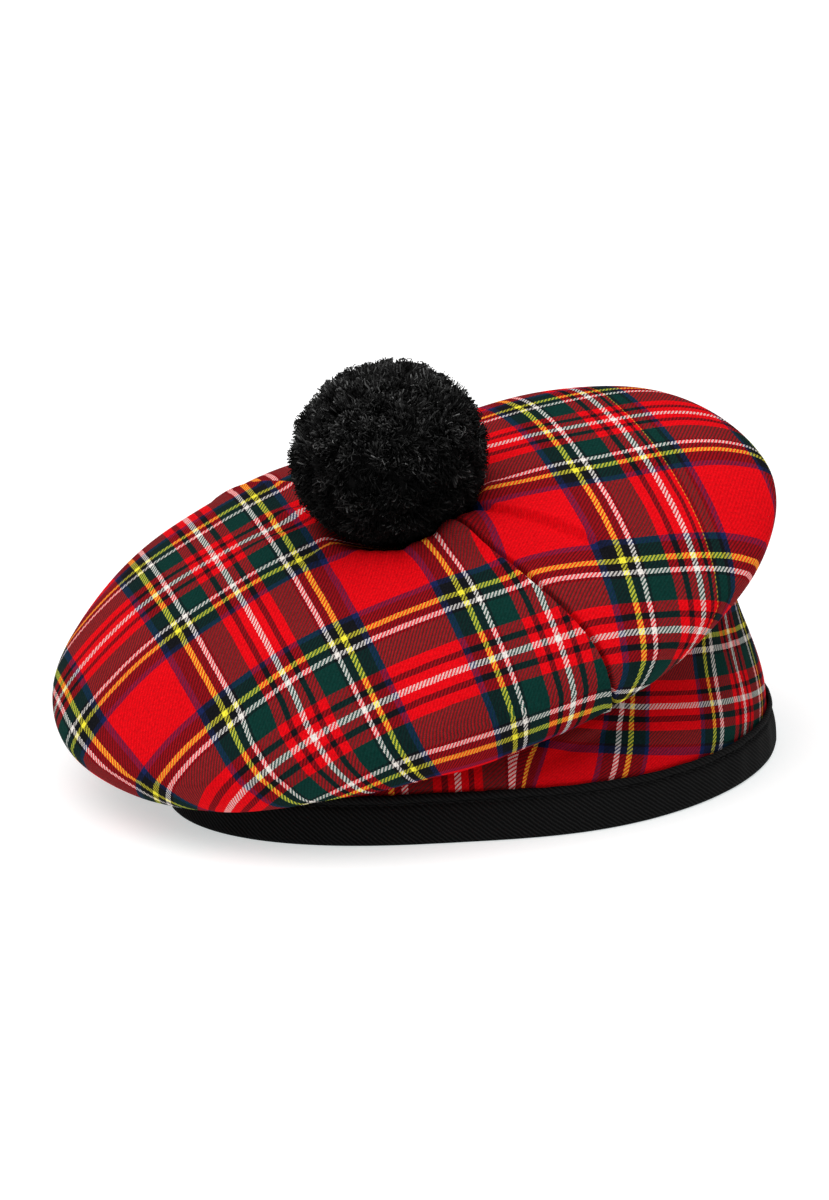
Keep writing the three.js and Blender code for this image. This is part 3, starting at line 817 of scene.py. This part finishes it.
def tartan(name, band_weft=False, far=False):
    m = Nodes(name)
    vec, u, v = m.uv("threads")
    # threads wander a little
    wob = m.noise(vec, 0.05, 2.0)
    u2 = m.math("ADD", u, m.math("MULTIPLY", m.math("SUBTRACT", wob, 0.5), 1.6))
    v2 = m.math("ADD", v, m.math("MULTIPLY", m.math("SUBTRACT", m.noise(vec, 0.043, 2.0), 0.5), 1.6))
    uf, vf = m.math("FLOOR", u2), m.math("FLOOR", v2)
    if band_weft:
        warp = m.ramp(m.math("DIVIDE", m.math("FLOORED_MODULO", m.math("ADD", uf, 0.5), BAND_REPEAT), BAND_REPEAT), sett_stops(BAND_WARP, BAND_REPEAT))
        lo, hi = BAND_WEFT[0][1], BAND_WEFT_TOP
        t = m.math("DIVIDE", m.math("SUBTRACT", m.math("ADD", vf, 0.5), lo), hi - lo)
        weft = m.ramp(t, [((p - lo) / (hi - lo), YARN[k]) for k, p in BAND_WEFT])
    else:
        warp = m.ramp(m.math("DIVIDE", m.math("PINGPONG", m.math("ADD", uf, 0.5), HALF), HALF), sett_stops(SETT, HALF))
        weft = m.ramp(m.math("DIVIDE", m.math("PINGPONG", m.math("ADD", vf, 0.5), HALF), HALF), sett_stops(SETT, HALF))
        if far:
            total = float(sum(n for _, n in FAR))
            t = m.math("DIVIDE", m.math("FLOORED_MODULO", m.math("SUBTRACT", uf, FAR_AT - 0.5), total), total)
            warp = m.mix(m.math("GREATER_THAN", uf, FAR_AT - 0.5), warp, m.ramp(t, sett_stops(FAR, total)))
    # two-over-two twill; under each float the crossing yarn shows through a little
    if band_weft:
        us, vs = m.math("MULTIPLY", u2, 0.84), m.math("MULTIPLY", v2, 0.84)
    else:                                # the crown's twill opens out towards its drooping side
        us = m.math("SUBTRACT", u2, m.math("MULTIPLY", m.math("MINIMUM", m.math("SUBTRACT", u2, 80.0), 0.0), 0.16))
        vs = m.math("SUBTRACT", m.math("MULTIPLY", v2, 0.93), m.math("MULTIPLY", m.math("MAXIMUM", m.math("SUBTRACT", v2, 110.0), 0.0), 0.14))
    step = m.math("FLOORED_MODULO", m.math("SUBTRACT", m.math("FLOOR", us), m.math("FLOOR", vs)), 4.0)
    over = m.math("LESS_THAN", step, 1.5)
    g = m.tree.nodes.new("ShaderNodeGamma")
    m.link(m.mix(1.0, warp, weft, "MULTIPLY"), g.inputs[0])
    g.inputs[1].default_value = 0.5
    pale = m.math("GREATER_THAN", m.math("MAXIMUM", m.blue(warp), m.blue(weft)), 0.3)        # the white yarn covers better
    bright = m.math("GREATER_THAN", m.math("MAXIMUM", m.green(warp), m.green(weft)), 0.3)    # and so do the yellow and the orange
    through = m.mix(m.math("MULTIPLY_ADD", bright, -0.25, 0.25), g.outputs[0], m.mix(0.5, warp, weft))
    cover = m.math("MULTIPLY_ADD", bright, -0.21, m.math("MULTIPLY_ADD", pale, -0.20, 0.70))
    col = m.mix(cover, m.mix(over, weft, warp), through)
    # yarn: painted shade across each rounded thread and along the twill's diagonal ribs, darker between neighbouring
    # threads, a little fuzz
    fu, fv = m.math("FRACT", us), m.math("FRACT", vs)
    across = m.math("ADD", m.math("MULTIPLY", fu, over), m.math("MULTIPLY", fv, m.math("SUBTRACT", 1.0, over)))
    roundness = m.math("SINE", m.math("MULTIPLY", across, math.pi))
    rib = m.math("MULTIPLY_ADD", m.math("COSINE", m.math("MULTIPLY", m.math("SUBTRACT", us, vs), math.pi / 2)), 0.5, 0.5)
    fuzz = m.noise(vec, 0.9, 3.0, 0.6)
    broad = m.noise(vec, 0.012, 3.0, 0.55)
    shade = m.math("MULTIPLY", m.maprange(roundness, 0.0, 1.0, 0.80, 1.08), m.maprange(fuzz, 0.25, 0.75, 0.84, 1.14))
    shade = m.math("MULTIPLY", shade, m.maprange(rib, 0.0, 1.0, 0.86, 1.07))
    shade = m.math("MULTIPLY", shade, m.maprange(broad, 0.3, 0.7, 0.95, 1.05))
    shade = m.math("MULTIPLY", shade, m.maprange(m.noise(vec, 0.33, 3.0, 0.65), 0.3, 0.7, 0.77, 1.18))      # raised nap
    # painted shade: the side band's cloth is darkened as if lying in the shade under the crown's overhang
    if band_weft:
        shade = m.math("MULTIPLY", shade, 0.84)
    col = m.mix(1.0, col, m.gray(shade), "MULTIPLY")
    col = m.mix(1.0, col, m.gray(m.maprange(m.noise(vec, 0.47, 2.0), 0.45, 0.75, 0.0, 0.004)), "ADD")      # pale fibre ends
    m.link(col, m.bsdf.inputs["Base Color"])
    m.bsdf.inputs["Roughness"].default_value = 0.92
    m.bsdf.inputs["Specular IOR Level"].default_value = 0.03
    height = m.math("ADD", m.math("MULTIPLY", rib, 0.6), m.math("ADD", m.math("MULTIPLY", roundness, 0.4), m.math("MULTIPLY", fuzz, 0.7)))
    m.bump(height, 0.35, 0.00022)
    return m.mat


def twill_tape():
    m = Nodes("black_twill_tape")
    vec, x, y = m.uv("tape_mm")
    a = math.radians(38)
    wob = m.math("MULTIPLY", m.math("SUBTRACT", m.noise(vec, 0.35, 2.0), 0.5), 0.6)
    p = m.math("ADD", m.math("ADD", m.math("MULTIPLY", x, math.sin(a)), m.math("MULTIPLY", y, math.cos(a))), wob)
    rib = m.math("MULTIPLY_ADD", m.math("SINE", m.math("MULTIPLY", p, 2 * math.pi / 1.08)), 0.5, 0.5)
    cross = m.math("MULTIPLY_ADD", m.math("SINE", m.math("MULTIPLY", m.math("SUBTRACT", x, m.math("MULTIPLY", y, 0.35)), 2 * math.pi / 0.62)), 0.5, 0.5)
    fuzz = m.noise(vec, 2.2, 3.0, 0.6)
    # painted light and shade: the tape is made lighter along its twill ribs and darker in the grooves between them
    level = m.math("MULTIPLY", m.maprange(rib, 0.2, 1.0, 0.5, 2.4), m.maprange(fuzz, 0.25, 0.75, 0.7, 1.3))
    level = m.math("MULTIPLY", level, m.maprange(cross, 0.0, 1.0, 0.85, 1.12))
    col = m.mix(1.0, (0.0056, 0.0056, 0.0057, 1), m.gray(level), "MULTIPLY")
    m.link(col, m.bsdf.inputs["Base Color"])
    m.bsdf.inputs["Roughness"].default_value = 0.8
    m.bsdf.inputs["Specular IOR Level"].default_value = 0.04
    m.bump(m.math("ADD", rib, m.math("ADD", m.math("MULTIPLY", cross, 0.35), m.math("MULTIPLY", fuzz, 0.4))), 0.5, 0.0003)
    return m.mat


def thread_black():
    m = Nodes("black_thread")
    f = m.noise(m.object_coords(), 2500.0, 2.0)
    m.link(m.mix(1.0, (0.0100, 0.0100, 0.0104, 1), m.gray(m.maprange(f, 0.3, 0.7, 0.7, 1.3)), "MULTIPLY"), m.bsdf.inputs["Base Color"])
    m.bsdf.inputs["Roughness"].default_value = 0.75
    m.bsdf.inputs["Specular IOR Level"].default_value = 0.05
    return m.mat


def yarn_black():
    m = Nodes("black_yarn")
    shade, heat = m.attr("shade"), m.attr("heat")
    f = m.noise(m.object_coords(), 900.0, 2.0)
    # painted shade: each strand darkens from its tip to its root deep in the ball
    level = m.math("MULTIPLY", shade, m.maprange(heat, 0.3, 1.0, 0.08, 1.0))
    level = m.math("MULTIPLY", level, m.maprange(f, 0.3, 0.7, 0.75, 1.25))
    m.link(m.mix(1.0, (0.2400, 0.2400, 0.2370, 1), m.gray(level), "MULTIPLY"), m.bsdf.inputs["Base Color"])
    m.bsdf.inputs["Roughness"].default_value = 0.8
    m.bsdf.inputs["Specular IOR Level"].default_value = 0.06
    return m.mat


tartan_crown = tartan("red_tartan_crown")
tartan_far = tartan("red_tartan_crown_right", far=True)
tartan_band = tartan("red_tartan_side_band", band_weft=True)
yarn = yarn_black()
for ob, mat in ((crown_left, tartan_crown), (crown_right, tartan_far), (band, tartan_band), (tape, twill_tape()), (thread, thread_black()), (ball, yarn), (curls, yarn)):
    ob.data.materials.append(mat)
for ob in (crown_left, crown_right, band):
    ob.data.set_sharp_from_angle(angle=math.radians(60))

# --- how the pieces stand in for the part's nodes -----------------------------
for ob, node, slot in ((crown_left, "crown_left", "tartan_crown_left"), (crown_right, "crown_right", "tartan_crown_right"), (band, "side_band", "tartan_side_band"),
                       (tape, "binding", "black_tape"), (ball, "pompom", "black_yarn")):
    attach(ob, "root")
    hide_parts(node)
for ob, slot in ((thread, "black_tape"), (curls, "black_yarn")):
    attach(ob, "root")

# ---------------------------------------------------------------------------
# Studio: pale floor, soft even light, the photograph's camera
floor_me = bpy.data.meshes.new("floor")
floor_me.from_pydata([(-12, -12, 0), (12, -12, 0), (12, 12, 0), (-12, 12, 0)], [], [(0, 1, 2, 3)])
floor = bpy.data.objects.new("floor", floor_me)
bpy.context.collection.objects.link(floor)
fm = Nodes("pale_floor")
fm.bsdf.inputs["Base Color"].default_value = (0.65, 0.62, 0.62, 1)
fm.bsdf.inputs["Roughness"].default_value = 0.9
fm.bsdf.inputs["Specular IOR Level"].default_value = 0.0
fm.bsdf.inputs["Emission Color"].default_value = (0.495, 0.53, 0.53, 1)
fm.bsdf.inputs["Emission Strength"].default_value = 1.0
floor_me.materials.append(fm.mat)

world = bpy.data.worlds.new("studio")
bpy.context.scene.world = world
world.use_nodes = True
# a wide overhead glow, a little from the front, over a weak even light
GLOW = Vector((0.04, -0.12, 1.0)).normalized()
wt = world.node_tree
sky = wt.nodes["Background"]
sky.inputs[0].default_value = (1.0, 1.0, 1.0, 1)
where = wt.nodes.new("ShaderNodeTexCoord")
dot = wt.nodes.new("ShaderNodeVectorMath")
dot.operation = "DOT_PRODUCT"
dot.inputs[1].default_value = GLOW
wt.links.new(where.outputs["Generated"], dot.inputs[0])
last = dot.outputs["Value"]
for op, second, third in (("MAXIMUM", 0.0, 0.0), ("POWER", 3.0, 0.0), ("MULTIPLY_ADD", 2.20, 0.06)):
    step = wt.nodes.new("ShaderNodeMath")
    step.operation = op
    wt.links.new(last, step.inputs[0])
    step.inputs[1].default_value = second
    step.inputs[2].default_value = third
    last = step.outputs[0]
wt.links.new(last, sky.inputs[1])
# a softer key from the upper left
key = bpy.data.lights.new("key", "SUN")
key.energy = 0.85
key.angle = math.radians(45)
key_ob = bpy.data.objects.new("key", key)
key_ob.rotation_euler = Vector((0.50, 0.28, -1.0)).to_track_quat("-Z", "Y").to_euler()
bpy.context.collection.objects.link(key_ob)

e, r = math.radians(EL), math.radians(ROLL)
back = np.array([0.0, -math.cos(e), math.sin(e)])
right0, fwd = np.array([1.0, 0, 0]), -back
up0 = np.cross(right0, fwd)
right = math.cos(r) * right0 - math.sin(r) * up0
up = math.sin(r) * right0 + math.cos(r) * up0
place = to_row(np.array(AIM) + back * DIST)
cam_data = bpy.data.cameras.new("photo_camera")
cam_data.sensor_fit = "AUTO"
cam_data.sensor_width = 36.0
cam_data.lens = FOCAL_PX / FRAME_PX * 36.0
cam_data.clip_end = 100.0
cam = bpy.data.objects.new("photo_camera", cam_data)
bpy.context.collection.objects.link(cam)
cam.matrix_world = Matrix((
    (right[0], up[0], back[0], place[0]),
    (right[1], up[1], back[1], place[1]),
    (right[2], up[2], back[2], place[2]),
    (0, 0, 0, 1),
))
bpy.context.scene.camera = cam
bpy.context.scene.view_settings.view_transform = "Standard"

bpy.context.view_layer.update()
